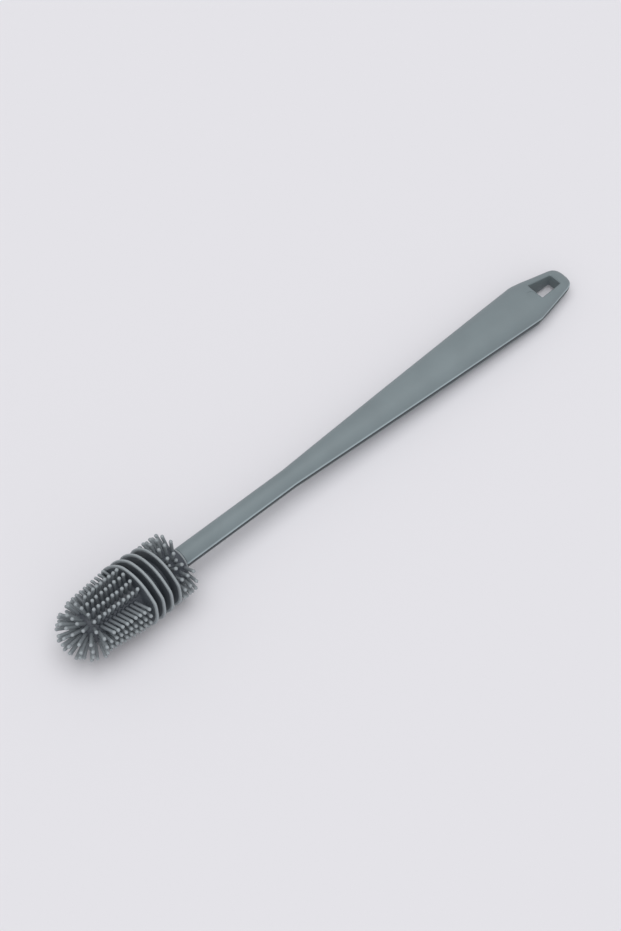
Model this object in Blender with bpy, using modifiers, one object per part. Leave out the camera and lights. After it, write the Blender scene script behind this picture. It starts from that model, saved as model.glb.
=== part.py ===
"""Silicone bottle brush, built at its real size.

The brush lies on a table: its first fin and the flat under the handle's shoulder touch z = 0.
Every piece is modelled on the brush's own axis and hangs from one empty. In that empty's frame
+Z runs along the brush from the first fin to the hang hole, +X is the upper side and angles are
measured from +X towards +Y.
"""
import math

import bmesh
import bpy
from mathutils import Matrix, Vector

MM = 0.001
GAP = 0.3

# Head: places along the brush and radii, in millimetres
FIN_PITCH = 5.5
FIN_RADII = (19.7, 19.5, 19.2, 18.6)
FIN_ROOT_HALF = 0.8
FIN_RIM_HALF = 0.5
FIN_RIM_ROUND = 0.3
FIN_FRONT_LAND = 1.25
CORE_RADIUS = 11.2
DOME_CENTRE = -27.2
DOME_CORE_RADIUS = 9.4
TIP_SLICE_END = -31.4
REAR_SLICE_END = 29.9
REAR_CORE_RADIUS = 9.9
HEAD_END = 33.0
COLLAR_LIP_RADIUS = 6.9
COLLAR_LIP_LENGTH = 1.2
COLLAR_GROOVE_RADIUS = 6.3
COLLAR_GROOVE_LENGTH = 0.3
COLLAR_WALL_START = 30.5

# Pins: four quadrants, four rows in each, leaning a little towards the middle of their quadrant
QUADRANTS = 4
ROWS_PER_QUADRANT = 4
LEAN = 0.42
PIN_ROOT_RADIUS = 1.2
PIN_END_RADIUS = 0.98
PIN_CHAMFER = 0.45
PIN_SINK = 0.9
BARREL_RINGS = 9
BARREL_FIRST = -27.6
BARREL_LAST = -3.3
BARREL_FIRST_REACH = 17.2
BARREL_LAST_REACH = 19.3
DOME_SIDE_REACH = 17.2
DOME_NOSE_REACH = 20.6
SHOULDER_RING_TILT = 75.0
SECOND_RING_TILT = 51.0
THIRD_RING_TILT = 33.0
THIRD_RING_PINS = 12
THIRD_RING_TURN = -8.0
NOSE_RING_TILT = 15.0
NOSE_RING_PINS = 6
REAR_RINGS = ((20.5, 18.8), (24.5, 18.7), (28.5, 18.5))
REAR_TURN = 2.5

# Stiff parts inside the head, and the stem that carries it
FORMER_RADIUS = 7.0
STEM_RADIUS = 4.2
STEM_TIP = -16.0
STEM_CHAMFER = 0.8
SOCKET_FLOOR = -17.5

# Handle
NECK_START = 33.3
NECK_RADIUS = 5.9
FLARE_START = 110.0
SHOULDER = 289.0
HANDLE_END = 324.3
GRIP_HALF_WIDTH = 13.8
GRIP_HALF_THICKNESS = 8.6
GRIP_BULGE = 0.12
END_WIDTH_SLOPE = 0.165
END_THICKNESS_SLOPE = 0.145
NOSE_LENGTH = 8.3
SHOULDER_SOFTNESS = 0.5
SHOULDER_SLANT = 3.0
SHOULDER_SLANT_DEPTH = 2.5
SHOULDER_SLANT_REACH = 14.0
SKIN_THICKNESS = 3.0
CORE_END = 285.0
REST_CUT = 0.35

# Hang hole, seen from above
HOLE_START = 298.0
HOLE_END = 315.0
HOLE_START_WIDTH = 11.6
HOLE_END_WIDTH = 8.0
HOLE_CORNER = 0.9

RING_SEGMENTS = 32
FIN_SEGMENTS = 48
SKIN_SEGMENTS = 36
CORE_SEGMENTS = 20
MERGE = 0.00001
SHARP_ANGLE = math.radians(35)

SILICONE = (0.200, 0.238, 0.254)
CORE_GREY = (0.130, 0.140, 0.145)
FORMER_GREY = (0.310, 0.330, 0.340)


def clear_scene():
    for thing in list(bpy.data.objects):
        bpy.data.objects.remove(thing, do_unlink=True)


def new_collection(name):
    collection = bpy.data.collections.new(name)
    bpy.context.scene.collection.children.link(collection)
    return collection


def new_material(name, colour, roughness):
    material = bpy.data.materials.new(name)
    material.use_nodes = True
    shader = material.node_tree.nodes["Principled BSDF"]
    shader.inputs["Base Color"].default_value = (*colour, 1.0)
    shader.inputs["Roughness"].default_value = roughness
    shader.inputs["Metallic"].default_value = 0.0
    material.diffuse_color = (*colour, 1.0)
    return material


def place(name, mesh, collection, parent, colour=None, roughness=0.6):
    """Put a mesh in the scene under the brush's axis; colour None makes it a cutter."""
    thing = bpy.data.objects.new(name, mesh)
    collection.objects.link(thing)
    thing.parent = parent
    if colour is None:
        thing.hide_render = True
        thing.display_type = "WIRE"
    else:
        mesh.materials.append(new_material(name, colour, roughness))
    return thing


def smooth(mesh):
    mesh.shade_smooth()
    mesh.set_sharp_from_angle(angle=SHARP_ANGLE)


def boolean(thing, other, operation):
    modifier = thing.modifiers.new(other.name, "BOOLEAN")
    modifier.operation = operation
    modifier.solver = "EXACT"
    modifier.object = other


def turned(name, profile, segments, closed, collection, parent, colour):
    """Turn a profile of (radius, place along the brush) about the brush's axis."""
    mesh = bpy.data.meshes.new(name)
    points = [(radius * MM, 0.0, along * MM) for radius, along in profile]
    edges = [(i, i + 1) for i in range(len(points) - 1)]
    if closed:
        edges.append((len(points) - 1, 0))
    mesh.from_pydata(points, edges, [])
    thing = place(name, mesh, collection, parent, colour)
    screw = thing.modifiers.new("turn", "SCREW")
    screw.axis = "Z"
    screw.angle = math.tau
    screw.steps = segments
    screw.render_steps = segments
    screw.use_merge_vertices = True
    screw.merge_threshold = MERGE
    screw.use_smooth_shade = True
    return thing


def core_radius(along):
    """Outside of the silicone that carries the pins."""
    if along < DOME_CENTRE:
        return math.sqrt(DOME_CORE_RADIUS ** 2 - (DOME_CENTRE - along) ** 2)
    if along < 0.0:
        share = (along - DOME_CENTRE) / -DOME_CENTRE
        return DOME_CORE_RADIUS + share * (CORE_RADIUS - DOME_CORE_RADIUS)
    start = FIN_PITCH * (len(FIN_RADII) - 0.5)
    if along < start:
        return CORE_RADIUS
    share = (along - start) / (REAR_SLICE_END - start)
    return CORE_RADIUS + share * (REAR_CORE_RADIUS - CORE_RADIUS)


def bore_radius(along):
    """Inside of the silicone, a gap clear of the former."""
    radius = FORMER_RADIUS + GAP
    if along < DOME_CENTRE:
        return math.sqrt(radius ** 2 - (DOME_CENTRE - along) ** 2)
    return radius


def spread(first, last, count):
    return [first + (last - first) * i / (count - 1) for i in range(count)]


def arc_to_nose(radius, start, count):
    """Points of a dome round the dome's centre, from a place along the brush to the axis."""
    first = math.acos(min(1.0, (DOME_CENTRE - start) / radius))
    points = []
    for i in range(count):
        tilt = first * (1 - i / (count - 1))
        points.append((radius * math.sin(tilt), DOME_CENTRE - radius * math.cos(tilt)))
    points[-1] = (0.0, DOME_CENTRE - radius)
    return points


def slice_profile(start, end):
    """Closed profile of one ring of the silicone, outer side first and running down."""
    outer = [end, start]
    inner = [start, end]
    if start < DOME_CENTRE < end:
        outer = [end] + spread(DOME_CENTRE, start, 3)
        inner = spread(start, DOME_CENTRE, 3) + [end]
    profile = [(core_radius(along), along) for along in outer]
    return profile + [(bore_radius(along), along) for along in inner]


def add_pin(bm, root, direction, length):
    """One four-sided pin with a chamfered end, its root sunk into the silicone."""
    shaft = length + PIN_SINK - PIN_CHAMFER
    start = root - direction * PIN_SINK
    side = Vector((-root.y, root.x, 0.0))
    side = side.normalized() if side.length > PIN_CHAMFER else Vector((0.0, 1.0, 0.0))
    side = (side - direction * side.dot(direction)).normalized()
    turn = Matrix((side.cross(direction), side, direction)).transposed().to_4x4()
    turn = turn @ Matrix.Rotation(math.radians(45), 4, "Z")
    middle = Matrix.Translation((start + direction * shaft / 2) * MM) @ turn
    made = bmesh.ops.create_cone(bm, cap_ends=True, segments=4, radius1=PIN_ROOT_RADIUS * MM,
                                 radius2=PIN_END_RADIUS * MM, depth=shaft * MM, matrix=middle)
    end = (start + direction * shaft) * MM
    faces = {face for vert in made["verts"] for face in vert.link_faces}
    top = min(faces, key=lambda face: (face.calc_center_median() - end).length)
    cap = bmesh.ops.extrude_discrete_faces(bm, faces=[top])["faces"][0]
    bmesh.ops.translate(bm, verts=cap.verts, vec=direction * PIN_CHAMFER * MM)
    centre = cap.calc_center_median()
    for vert in cap.verts:
        vert.co = centre + (vert.co - centre) * (1 - PIN_CHAMFER / PIN_END_RADIUS)


def around(angle):
    return Vector((math.cos(angle), math.sin(angle), 0.0))


def row_angles():
    """Base angle and leaning angle of every lengthwise row, in radians."""
    width = math.tau / QUADRANTS
    rows = []
    for quadrant in range(QUADRANTS):
        middle = quadrant * width
        for row in range(ROWS_PER_QUADRANT):
            offset = width * ((row + 0.5) / ROWS_PER_QUADRANT - 0.5)
            rows.append((middle + offset, middle + offset * LEAN))
    return rows


def reach(root_radius, base, lean, tip_radius):
    """Length of a leaning pin whose end lies at tip_radius from the axis."""
    across = root_radius * math.cos(base - lean)
    return -across + math.sqrt(across ** 2 + tip_radius ** 2 - root_radius ** 2)


def add_barrel_pins(bm):
    slope = (BARREL_LAST_REACH - BARREL_FIRST_REACH) / (BARREL_LAST - BARREL_FIRST)
    for along in spread(BARREL_FIRST, BARREL_LAST, BARREL_RINGS):
        tip_radius = BARREL_FIRST_REACH + slope * (along - BARREL_FIRST)
        radius = core_radius(along)
        for base, lean in row_angles():
            root = around(base) * radius + Vector((0.0, 0.0, along))
            add_pin(bm, root, around(lean), reach(radius, base, lean, tip_radius))


def add_dome_pin(bm, tilt, angle):
    """One pin pointing out from the dome's centre, tilted from the brush's nose."""
    direction = around(angle) * math.sin(tilt) - Vector((0.0, 0.0, math.cos(tilt)))
    centre = Vector((0.0, 0.0, DOME_CENTRE))
    root = centre + direction * DOME_CORE_RADIUS
    end = DOME_SIDE_REACH + (DOME_NOSE_REACH - DOME_SIDE_REACH) * math.cos(tilt) ** 2
    add_pin(bm, root, direction, end - DOME_CORE_RADIUS)


def add_dome_row_ring(bm, tilt_degrees):
    """A ring of the dome that carries on the rows of the barrel."""
    for base, lean in row_angles():
        add_dome_pin(bm, math.radians(tilt_degrees), (2 * base + lean) / 3)


def pins_object(name, fill, cutters, parent):
    bm = bmesh.new()
    fill(bm)
    mesh = bpy.data.meshes.new(name)
    bm.to_mesh(mesh)
    bm.free()
    return place(name, mesh, cutters, parent)


def fill_tip(bm):
    add_dome_row_ring(bm, SECOND_RING_TILT)
    for i in range(THIRD_RING_PINS):
        angle = math.radians(THIRD_RING_TURN) + math.tau * i / THIRD_RING_PINS
        add_dome_pin(bm, math.radians(THIRD_RING_TILT), angle)
    for i in range(NOSE_RING_PINS):
        add_dome_pin(bm, math.radians(NOSE_RING_TILT), math.tau * i / NOSE_RING_PINS)
    add_dome_pin(bm, 0.0, 0.0)


def fill_front(bm):
    add_barrel_pins(bm)
    add_dome_row_ring(bm, SHOULDER_RING_TILT)


def fill_rear(bm):
    for along, tip_radius in REAR_RINGS:
        radius = core_radius(along)
        for base, _ in row_angles():
            outward = around(base + math.radians(REAR_TURN))
            root = outward * radius + Vector((0.0, 0.0, along))
            add_pin(bm, root, outward, tip_radius - radius)


def tip_profile():
    """Closed dome: outside from its open end to the nose, then the blind bore back out."""
    outer = arc_to_nose(DOME_CORE_RADIUS, TIP_SLICE_END - GAP / 2, 7)
    inner = arc_to_nose(FORMER_RADIUS + GAP, TIP_SLICE_END - GAP / 2, 5)
    return outer, inner


def build_tip(parts, cutters, axis):
    outer, inner = tip_profile()
    profile = list(reversed(inner)) + outer
    thing = turned("tip_bristles", profile, RING_SEGMENTS, False, parts, axis, SILICONE)
    boolean(thing, pins_object("tip_pins", fill_tip, cutters, axis), "UNION")
    return thing


def build_front(parts, cutters, axis):
    profile = slice_profile(TIP_SLICE_END + GAP / 2, -FIN_FRONT_LAND - GAP / 2)
    thing = turned("front_bristles", profile, RING_SEGMENTS, True, parts, axis, SILICONE)
    boolean(thing, pins_object("front_pins", fill_front, cutters, axis), "UNION")
    return thing


def build_rear(parts, cutters, axis):
    start = FIN_PITCH * (len(FIN_RADII) - 0.5) + GAP / 2
    profile = slice_profile(start, REAR_SLICE_END - GAP / 2)
    thing = turned("rear_bristles", profile, RING_SEGMENTS, True, parts, axis, SILICONE)
    boolean(thing, pins_object("rear_pins", fill_rear, cutters, axis), "UNION")
    return thing


def build_fin(index, parts, axis):
    """One scraper fin with its own slice of the silicone core."""
    middle = index * FIN_PITCH
    rim = FIN_RADII[index]
    end = middle + (FIN_PITCH - GAP) / 2
    start = middle - (FIN_FRONT_LAND - GAP / 2 if index == 0 else (FIN_PITCH - GAP) / 2)
    profile = [
        (core_radius(end), end),
        (CORE_RADIUS, middle + FIN_ROOT_HALF),
        (rim - FIN_RIM_ROUND, middle + FIN_RIM_HALF),
        (rim, middle + FIN_RIM_HALF - FIN_RIM_ROUND),
        (rim, middle - FIN_RIM_HALF + FIN_RIM_ROUND),
        (rim - FIN_RIM_ROUND, middle - FIN_RIM_HALF),
        (CORE_RADIUS, middle - FIN_ROOT_HALF),
        (core_radius(start), start),
        (bore_radius(start), start),
        (bore_radius(end), end),
    ]
    return turned(f"scraper_fin_{index + 1}", profile, FIN_SEGMENTS, True, parts, axis, SILICONE)


def build_collar(parts, axis):
    """Rear wall of the silicone, closing round the stem in a thin lip behind a groove."""
    start = REAR_SLICE_END + GAP / 2
    lip = HEAD_END - COLLAR_LIP_LENGTH
    groove = lip - COLLAR_GROOVE_LENGTH
    drop = REAR_CORE_RADIUS - COLLAR_GROOVE_RADIUS
    profile = [(COLLAR_LIP_RADIUS, HEAD_END), (COLLAR_LIP_RADIUS, lip)]
    for i in range(5):
        turn = math.pi / 2 * i / 4
        radius = COLLAR_GROOVE_RADIUS + drop * math.sin(turn)
        profile.append((radius, start + (groove - start) * math.cos(turn)))
    profile += [
        (bore_radius(start), start),
        (bore_radius(start), COLLAR_WALL_START),
        (STEM_RADIUS + GAP, COLLAR_WALL_START),
        (STEM_RADIUS + GAP, HEAD_END),
    ]
    return turned("head_collar", profile, RING_SEGMENTS, True, parts, axis, SILICONE)


def build_former(parts, axis):
    """Stiff closed-ended tube inside the silicone, with the socket for the stem."""
    end = COLLAR_WALL_START - GAP
    socket = STEM_RADIUS + GAP
    profile = [(0.0, SOCKET_FLOOR), (socket, SOCKET_FLOOR), (socket, end), (FORMER_RADIUS, end)]
    profile += arc_to_nose(FORMER_RADIUS, DOME_CENTRE, 6)
    return turned("head_former", profile, 24, False, parts, axis, FORMER_GREY)


def smooth_min(a, b, softness):
    blend = max(softness - abs(a - b), 0.0) / softness
    return min(a, b) - blend * blend * softness / 4


def grip_share(along):
    share = min(max((along - FLARE_START) / (SHOULDER - FLARE_START), 0.0), 1.1)
    return (1 + GRIP_BULGE) * share - GRIP_BULGE * share * share


def nose_share(along):
    """Rounding of the handle's end, 1 before it starts and 0 at the very end."""
    into = max(along - (HANDLE_END - NOSE_LENGTH), 0.0) / NOSE_LENGTH
    return math.sqrt(max(1 - into * into, 0.0))


def skin_half_width(along):
    grip = NECK_RADIUS + (GRIP_HALF_WIDTH - NECK_RADIUS) * grip_share(along)
    end = GRIP_HALF_WIDTH - (along - SHOULDER) * END_WIDTH_SLOPE
    return smooth_min(grip, end, SHOULDER_SOFTNESS) * nose_share(along)


def skin_half_thickness(along):
    grip = NECK_RADIUS + (GRIP_HALF_THICKNESS - NECK_RADIUS) * grip_share(along)
    end = GRIP_HALF_THICKNESS - (along - SHOULDER) * END_THICKNESS_SLOPE
    return smooth_min(grip, end, SHOULDER_SOFTNESS) * nose_share(along)


def squareness(along):
    """Power of the section's outline: 2 is round, more is flatter on top and at the sides."""
    return 2.0 + 0.4 * grip_share(along) + 0.8 * min(max((along - SHOULDER) / 10, 0.0), 1.0)


def section(half_thickness, half_width, power, count):
    """Outline round the axis, thickness along X and width along Y."""
    points = []
    for i in range(count):
        angle = math.tau * i / count
        x = math.copysign(abs(math.cos(angle)) ** (2 / power), math.cos(angle))
        y = math.copysign(abs(math.sin(angle)) ** (2 / power), math.sin(angle))
        points.append((half_thickness * x, half_width * y))
    return points


def ring_at(along, outline):
    return [(x, y, along) for x, y in outline]


def loft(name, rings):
    """Closed skin over rings of one point count."""
    bm = bmesh.new()
    rows = []
    for points in rings:
        rows.append([bm.verts.new(Vector(point) * MM) for point in points])
    count = len(rows[0])
    for low, high in zip(rows, rows[1:]):
        for i in range(count):
            j = (i + 1) % count
            bm.faces.new((low[i], low[j], high[j], high[i]))
    bm.faces.new(list(reversed(rows[0])))
    bm.faces.new(rows[-1])
    mesh = bpy.data.meshes.new(name)
    bm.to_mesh(mesh)
    bm.free()
    smooth(mesh)
    return mesh


def handle_stations():
    neck = [NECK_START, 60.0, 85.0, FLARE_START - 4]
    flare = spread(FLARE_START, SHOULDER - 9, 11)
    shoulder = [SHOULDER + step for step in (-6, -4, -2.5, -1, 0, 1, 2.5, 4, 6)]
    nose_start = HANDLE_END - NOSE_LENGTH
    end = spread(SHOULDER + 10, nose_start, 4)
    nose = [nose_start + NOSE_LENGTH * math.sin(math.pi / 2 * i / 6) for i in range(1, 6)]
    return neck + flare + shoulder + end + nose + [HANDLE_END - 0.03]


def shoulder_shift(along, x):
    """The shoulder stands nearer the hang hole on the upper side than on the underside."""
    off = (along - SHOULDER) / SHOULDER_SLANT_REACH
    share = max(1 - off * off, 0.0) ** 2
    return SHOULDER_SLANT * share * min(max(x / SHOULDER_SLANT_DEPTH, -1.0), 1.0)


def skin_rings():
    rings = []
    for along in handle_stations():
        outline = section(skin_half_thickness(along), skin_half_width(along), squareness(along),
                          SKIN_SEGMENTS)
        rings.append([(x, y, along + shoulder_shift(along, x)) for x, y in outline])
    return rings


def core_rings(clearance, first):
    """Sections of the stiff core, or of its hole in the skin when clearance is a gap."""
    rings = []
    round_end = 3.0
    stations = [first, FLARE_START] + spread(FLARE_START + 20, CORE_END - round_end, 8)
    for along in stations:
        thick = max(STEM_RADIUS, skin_half_thickness(along) - SKIN_THICKNESS) + clearance
        wide = max(STEM_RADIUS, skin_half_width(along) - SKIN_THICKNESS) + clearance
        rings.append(ring_at(along, section(thick, wide, 2.0, CORE_SEGMENTS)))
    for share in (0.75, 0.3, 0.0):
        along = CORE_END + clearance - round_end * share
        inset = round_end * (1 - math.sqrt(1 - (1 - share) ** 2))
        rings.append(ring_at(along, section(thick - inset, wide - inset, 2.0, CORE_SEGMENTS)))
    return rings


def build_core(parts, axis):
    """Stiff core of the handle, ending in the chamfered stem."""
    tip = section(STEM_RADIUS - STEM_CHAMFER, STEM_RADIUS - STEM_CHAMFER, 2.0, CORE_SEGMENTS)
    rings = [ring_at(STEM_TIP, tip)] + core_rings(0.0, STEM_TIP + STEM_CHAMFER)
    return place("handle_core", loft("handle_core", rings), parts, axis, CORE_GREY, 0.45)


def hole_cutter(cutters, axis):
    """Trapezoidal prism through the handle's end."""
    bm = bmesh.new()
    bmesh.ops.create_cube(bm, size=1.0)
    height = 30.0
    for vert in bm.verts:
        far = vert.co.z > 0
        width = HOLE_END_WIDTH if far else HOLE_START_WIDTH
        along = HOLE_END if far else HOLE_START
        vert.co = Vector((vert.co.x * height, vert.co.y * width, along)) * MM
    upright = [edge for edge in bm.edges if abs(edge.verts[0].co.x - edge.verts[1].co.x) > 1 * MM]
    bmesh.ops.bevel(bm, geom=upright, offset=HOLE_CORNER * MM, segments=3, profile=0.5,
                    affect="EDGES")
    mesh = bpy.data.meshes.new("hang_hole")
    bm.to_mesh(mesh)
    bm.free()
    return place("hang_hole", mesh, cutters, axis)


def lean_angle():
    """How far the axis falls from the head to the handle's shoulder when the brush rests."""
    rest = GRIP_HALF_THICKNESS - REST_CUT
    return math.atan2(FIN_RADII[0] - rest, SHOULDER - SHOULDER_SLANT)


def floor_cutter(cutters, axis):
    """Block under the table top, which leaves a flat under the handle's shoulder."""
    mesh = bpy.data.meshes.new("table_top")
    bm = bmesh.new()
    bmesh.ops.create_cube(bm, size=60 * MM)
    bmesh.ops.translate(bm, verts=bm.verts, vec=(-30 * MM, 0.0, 0.0))
    bm.to_mesh(mesh)
    bm.free()
    block = place("table_top", mesh, cutters, axis)
    block.location = Vector((-(GRIP_HALF_THICKNESS - REST_CUT), 0.0, SHOULDER - SHOULDER_SLANT)) * MM
    block.rotation_euler = (0.0, lean_angle(), 0.0)
    return block


def build_skin(parts, cutters, axis):
    """Soft outer skin: neck, grip and hang hole, with a blind bore for the core."""
    thing = place("handle_skin", loft("handle_skin", skin_rings()), parts, axis, SILICONE)
    bore_mesh = loft("core_bore", core_rings(GAP, NECK_START - 4))
    boolean(thing, place("core_bore", bore_mesh, cutters, axis), "DIFFERENCE")
    boolean(thing, hole_cutter(cutters, axis), "DIFFERENCE")
    boolean(thing, floor_cutter(cutters, axis), "DIFFERENCE")
    return thing


def make_axis(parts):
    """Empty on the brush's axis: its +Z runs down to the handle's end, its +X is the upper side."""
    axis = bpy.data.objects.new("brush_axis", None)
    axis.empty_display_size = 0.02
    parts.objects.link(axis)
    lean = lean_angle()
    along = Vector((math.cos(lean), 0.0, -math.sin(lean)))
    up = Vector((math.sin(lean), 0.0, math.cos(lean)))
    side = along.cross(up)
    axis.matrix_world = Matrix((up, side, along)).transposed().to_4x4()
    return axis


def set_down(axis, pieces):
    """Move the axis so that the box round the brush stands centred on z = 0."""
    bpy.context.view_layer.update()
    graph = bpy.context.evaluated_depsgraph_get()
    points = []
    for piece in pieces:
        made = piece.evaluated_get(graph)
        mesh = made.to_mesh()
        points += [made.matrix_world @ vert.co for vert in mesh.vertices]
        made.to_mesh_clear()
    low = [min(point[i] for point in points) for i in range(3)]
    high = [max(point[i] for point in points) for i in range(3)]
    shift = Vector((-(low[0] + high[0]) / 2, -(low[1] + high[1]) / 2, -low[2]))
    axis.location = axis.location + shift
    bpy.context.view_layer.update()
    size = [round((high[i] - low[i]) * 1000, 2) for i in range(3)]
    print("brush size in mm:", size, "axis at", [round(value * 1000, 3) for value in axis.location])


def main():
    clear_scene()
    parts = new_collection("bottle_brush")
    cutters = new_collection("cutters")
    axis = make_axis(parts)
    pieces = [build_tip(parts, cutters, axis), build_front(parts, cutters, axis)]
    pieces += [build_fin(index, parts, axis) for index in range(len(FIN_RADII))]
    pieces.append(build_rear(parts, cutters, axis))
    pieces.append(build_collar(parts, axis))
    pieces.append(build_former(parts, axis))
    pieces.append(build_core(parts, axis))
    pieces.append(build_skin(parts, cutters, axis))
    set_down(axis, pieces)


main()
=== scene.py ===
"""Looks of the silicone bottle brush: its surfaces, finishes, light and camera.

The brush lies on a pale table. Shapes are given in millimetres on the brush's own axis, where +Z
runs from the first fin towards the hang hole, +X is the upper side and angles grow from there
towards +Y, the side nearer the camera. AXIS sets them down on the table in metres.
"""

import math

import bmesh
import bpy
from mathutils import Euler, Matrix, Vector


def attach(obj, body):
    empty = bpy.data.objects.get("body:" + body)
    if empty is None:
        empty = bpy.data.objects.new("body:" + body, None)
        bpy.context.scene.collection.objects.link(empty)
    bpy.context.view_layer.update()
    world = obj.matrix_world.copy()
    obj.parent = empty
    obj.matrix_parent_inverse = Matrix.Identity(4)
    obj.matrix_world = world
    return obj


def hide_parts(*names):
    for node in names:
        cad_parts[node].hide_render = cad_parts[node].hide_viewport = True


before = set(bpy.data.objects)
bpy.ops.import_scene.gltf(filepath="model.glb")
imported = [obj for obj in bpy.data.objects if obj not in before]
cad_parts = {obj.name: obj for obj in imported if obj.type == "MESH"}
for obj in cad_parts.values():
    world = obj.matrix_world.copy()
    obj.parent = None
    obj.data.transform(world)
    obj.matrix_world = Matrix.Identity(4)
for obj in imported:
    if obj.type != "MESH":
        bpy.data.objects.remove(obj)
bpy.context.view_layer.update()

MM = 0.001

# An edge that turns by more than this looks sharp
SHARP_ANGLE = math.radians(40)

# Bounds that keep a division or a root possible at the very end of the handle
NEARLY_ZERO = 0.01
NEARLY_ONE = 0.999

# The brush's axis: where its first fin stands, and how far it falls towards the handle
AXIS_PLACE = Vector((-138.123, 0.0, 19.712)) * MM
AXIS_FALL = math.radians(2.29261)

# Silicone moulding of the head: the dome and the tube that carry the pins, its blind bore, and the
# groove and rounded lip round the neck. Behind the fins the tube narrows, a gap after the last one
HEAD_SIDES = 240
DOME_CENTRE = -27.2
DOME_RADIUS = 9.4
DOME_STEPS = 16
TUBE_RADIUS = 11.2
TUBE_TAPER_GAP = 3.0
TUBE_REAR_RADIUS = 9.9
TUBE_END = 29.2
BORE_RADIUS = 7.3
BORE_DOME_STEPS = 8
BORE_END = 30.4
NECK_OPENING_RADIUS = 4.5
COLLAR_GROOVE_END = 30.9
COLLAR_GROOVE_RADIUS = 6.0
COLLAR_GROOVE_STEPS = 8
COLLAR_LIP_START = 31.4
COLLAR_LIP_RADIUS = 6.4
COLLAR_END = 32.4
COLLAR_EDGE = 0.35
COLLAR_EDGE_STEPS = 5

# Fine ridge between the quadrants: it fades over the dome and ends before its nose
PARTING_RIDGE = 0.1
PARTING_RIDGE_WIDTH = 0.45
PARTING_RIDGE_LEAST_RADIUS = 5.6
PARTING_RIDGE_FADE = 4

# Scraper fins: their places along the axis and radii, half thickness, depth of the rim's band of
# painted highlight, how light their faces are painted as painted shade that darkens towards the root,
# small corners where the mould parts, and the slope that sets their near side back towards the handle
FIN_PLACES = (-0.35, 4.7, 10.4, 16.35)
FIN_RADII = (19.4, 19.3, 19.0, 18.4)
FIN_LOWER_GROWTH = 0.2
FIN_ROOT_HALF = 0.8
FIN_RIM_HALF = 0.68
FIN_RIM_STEPS = 6
FIN_RIM_HIGHLIGHT = 1.5
FIN_FACE_LIGHT = 0.25
FIN_CORNER = 0.9
FIN_CORNER_ANGLES = (math.radians(62), math.radians(-118))
FIN_CORNER_WIDTH = math.radians(18)
FIN_TILT = 0.0567
# Side of a fin: up from its root as (height over the tube, what the root's half thickness gains),
# then under its rim as (height over the pale band's edge, what the rim's half thickness gains)
FIN_ROOT_SIDE = ((-0.8, 1.0), (0.1, 0.45), (0.6, 0.1), (1.5, -0.1))
FIN_RIM_SIDE = ((-0.3, -0.05), (0.1, 0.0))

# One pin: up its shaft as (radius, place, share of the shaft's painted light), then up its ball
# end as (radius, distance below the tip, share of the way from the shaft's painted light to the full
# painted highlight). Its root is painted dark as painted shade
PIN_LENGTH = 9.0
PIN_SIDES = 8
PIN_SHAFT = ((1.45, -0.6, 0.0), (1.2, 0.2, 0.5), (0.98, 1.0, 1.0))
PIN_BALL = ((0.92, 2.0, 0.5), (1.06, 1.15, 1.0), (0.83, 0.4, 1.0))

# Pins of each region: how light their shafts are painted, as painted shade that lightens towards
# the ends, and the seed of their small random turns
PIN_SHAFT_LIGHT = {"tip_pins": 0.5, "front_pins": 0.22, "rear_pins": 0.4}
PIN_SEEDS = {"tip_pins": 3, "front_pins": 5, "rear_pins": 7}
PIN_WOBBLE = 0.035

# Rows of pins: the rows of a quadrant lean together, to this share of the angles at their roots.
# A reach is the distance of a tip from the axis, or on the dome from its centre
QUADRANTS = 4
ROWS_PER_QUADRANT = 4
LEAN = 0.42
BARREL_RINGS = 9
BARREL_FIRST = -27.6
BARREL_LAST = -3.3
BARREL_FIRST_REACH = 17.2
BARREL_LAST_REACH = 19.3

# First row of each quadrant: a comb drawn close, which leans towards the handle
COMB_FIRST = -27.1
COMB_LAST = -5.3
COMB_LEAN = math.radians(12.5)
COMB_EXTRA_REACH = 0.5
COMB_ROOT_TURN = math.radians(-5)
COMB_TIP_TURN = math.radians(6)

# Dome's pins: rows, rings and parting pins by their degrees from the nose, longer on the near side
DOME_SIDE_REACH = 17.2
DOME_NOSE_REACH = 20.6
DOME_NEAR_SIDE = math.radians(105)
DOME_NEAR_GROWTH = 1.9
DOME_ROW_TILTS = (75.0, 51.0)
THIRD_RING_TILT = 33.0
THIRD_RING_PINS = 12
THIRD_RING_TURN = math.radians(-8)
NOSE_RING_TILT = 15.0
NOSE_RING_PINS = 6
PARTING_PIN_TILT = 68.0

# Rear pins: rings as (place, reach), pins left out as (ring's place, row), and stubs as
# (place, degrees round the axis)
REAR_RINGS = ((20.5, 18.8), (24.5, 18.7), (28.5, 18.5))
REAR_TURN = math.radians(2.5)
REAR_GAP = ((28.5, 2), (28.5, 3))
REAR_STUBS = ((20.5, 25.0), (25.3, 24.0))
REAR_STUB_REACH = 13.6

# The soft head has taken a set on its far side: pins and fins lean towards the nose there. The
# places are where along the head the lean starts, is greatest and ends
FAR_SIDE = math.radians(-80)
FAR_SIDE_WIDTH = math.radians(62)
FAR_LEAN = 3.7
FAR_LEAN_PLACES = (-28.0, -0.35, 27.7)

# Handle: a round neck, which flares into the flat grip as far as the shoulder, then a wedge that
# narrows by its slopes to a rounded end. The shoulder slants: it stands further along on top
NECK_START = 32.7
NECK_RADIUS = 5.9
NECK_EDGE = 0.5
NECK_EDGE_STEPS = 4
FLARE_START = 110.0
SHOULDER = 289.8
HANDLE_END = 322.7
GRIP_HALF_WIDTH = 13.8
GRIP_HALF_THICKNESS = 8.6
GRIP_BULGE = 0.16
GRIP_SHARE_LIMIT = 1.1
END_WIDTH_SLOPE = 0.203
END_THICKNESS_SLOPE = 0.153
NOSE_LENGTH = 7.0
NOSE_SQUARENESS = 3.0
SHOULDER_SOFTNESS = 0.3
SHOULDER_SLANT = 1.3
SHOULDER_SLANT_DEPTH = 2.5
SHOULDER_SLANT_REACH = 14.0
SHOULDER_SLANT_ROUNDS = 8

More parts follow.
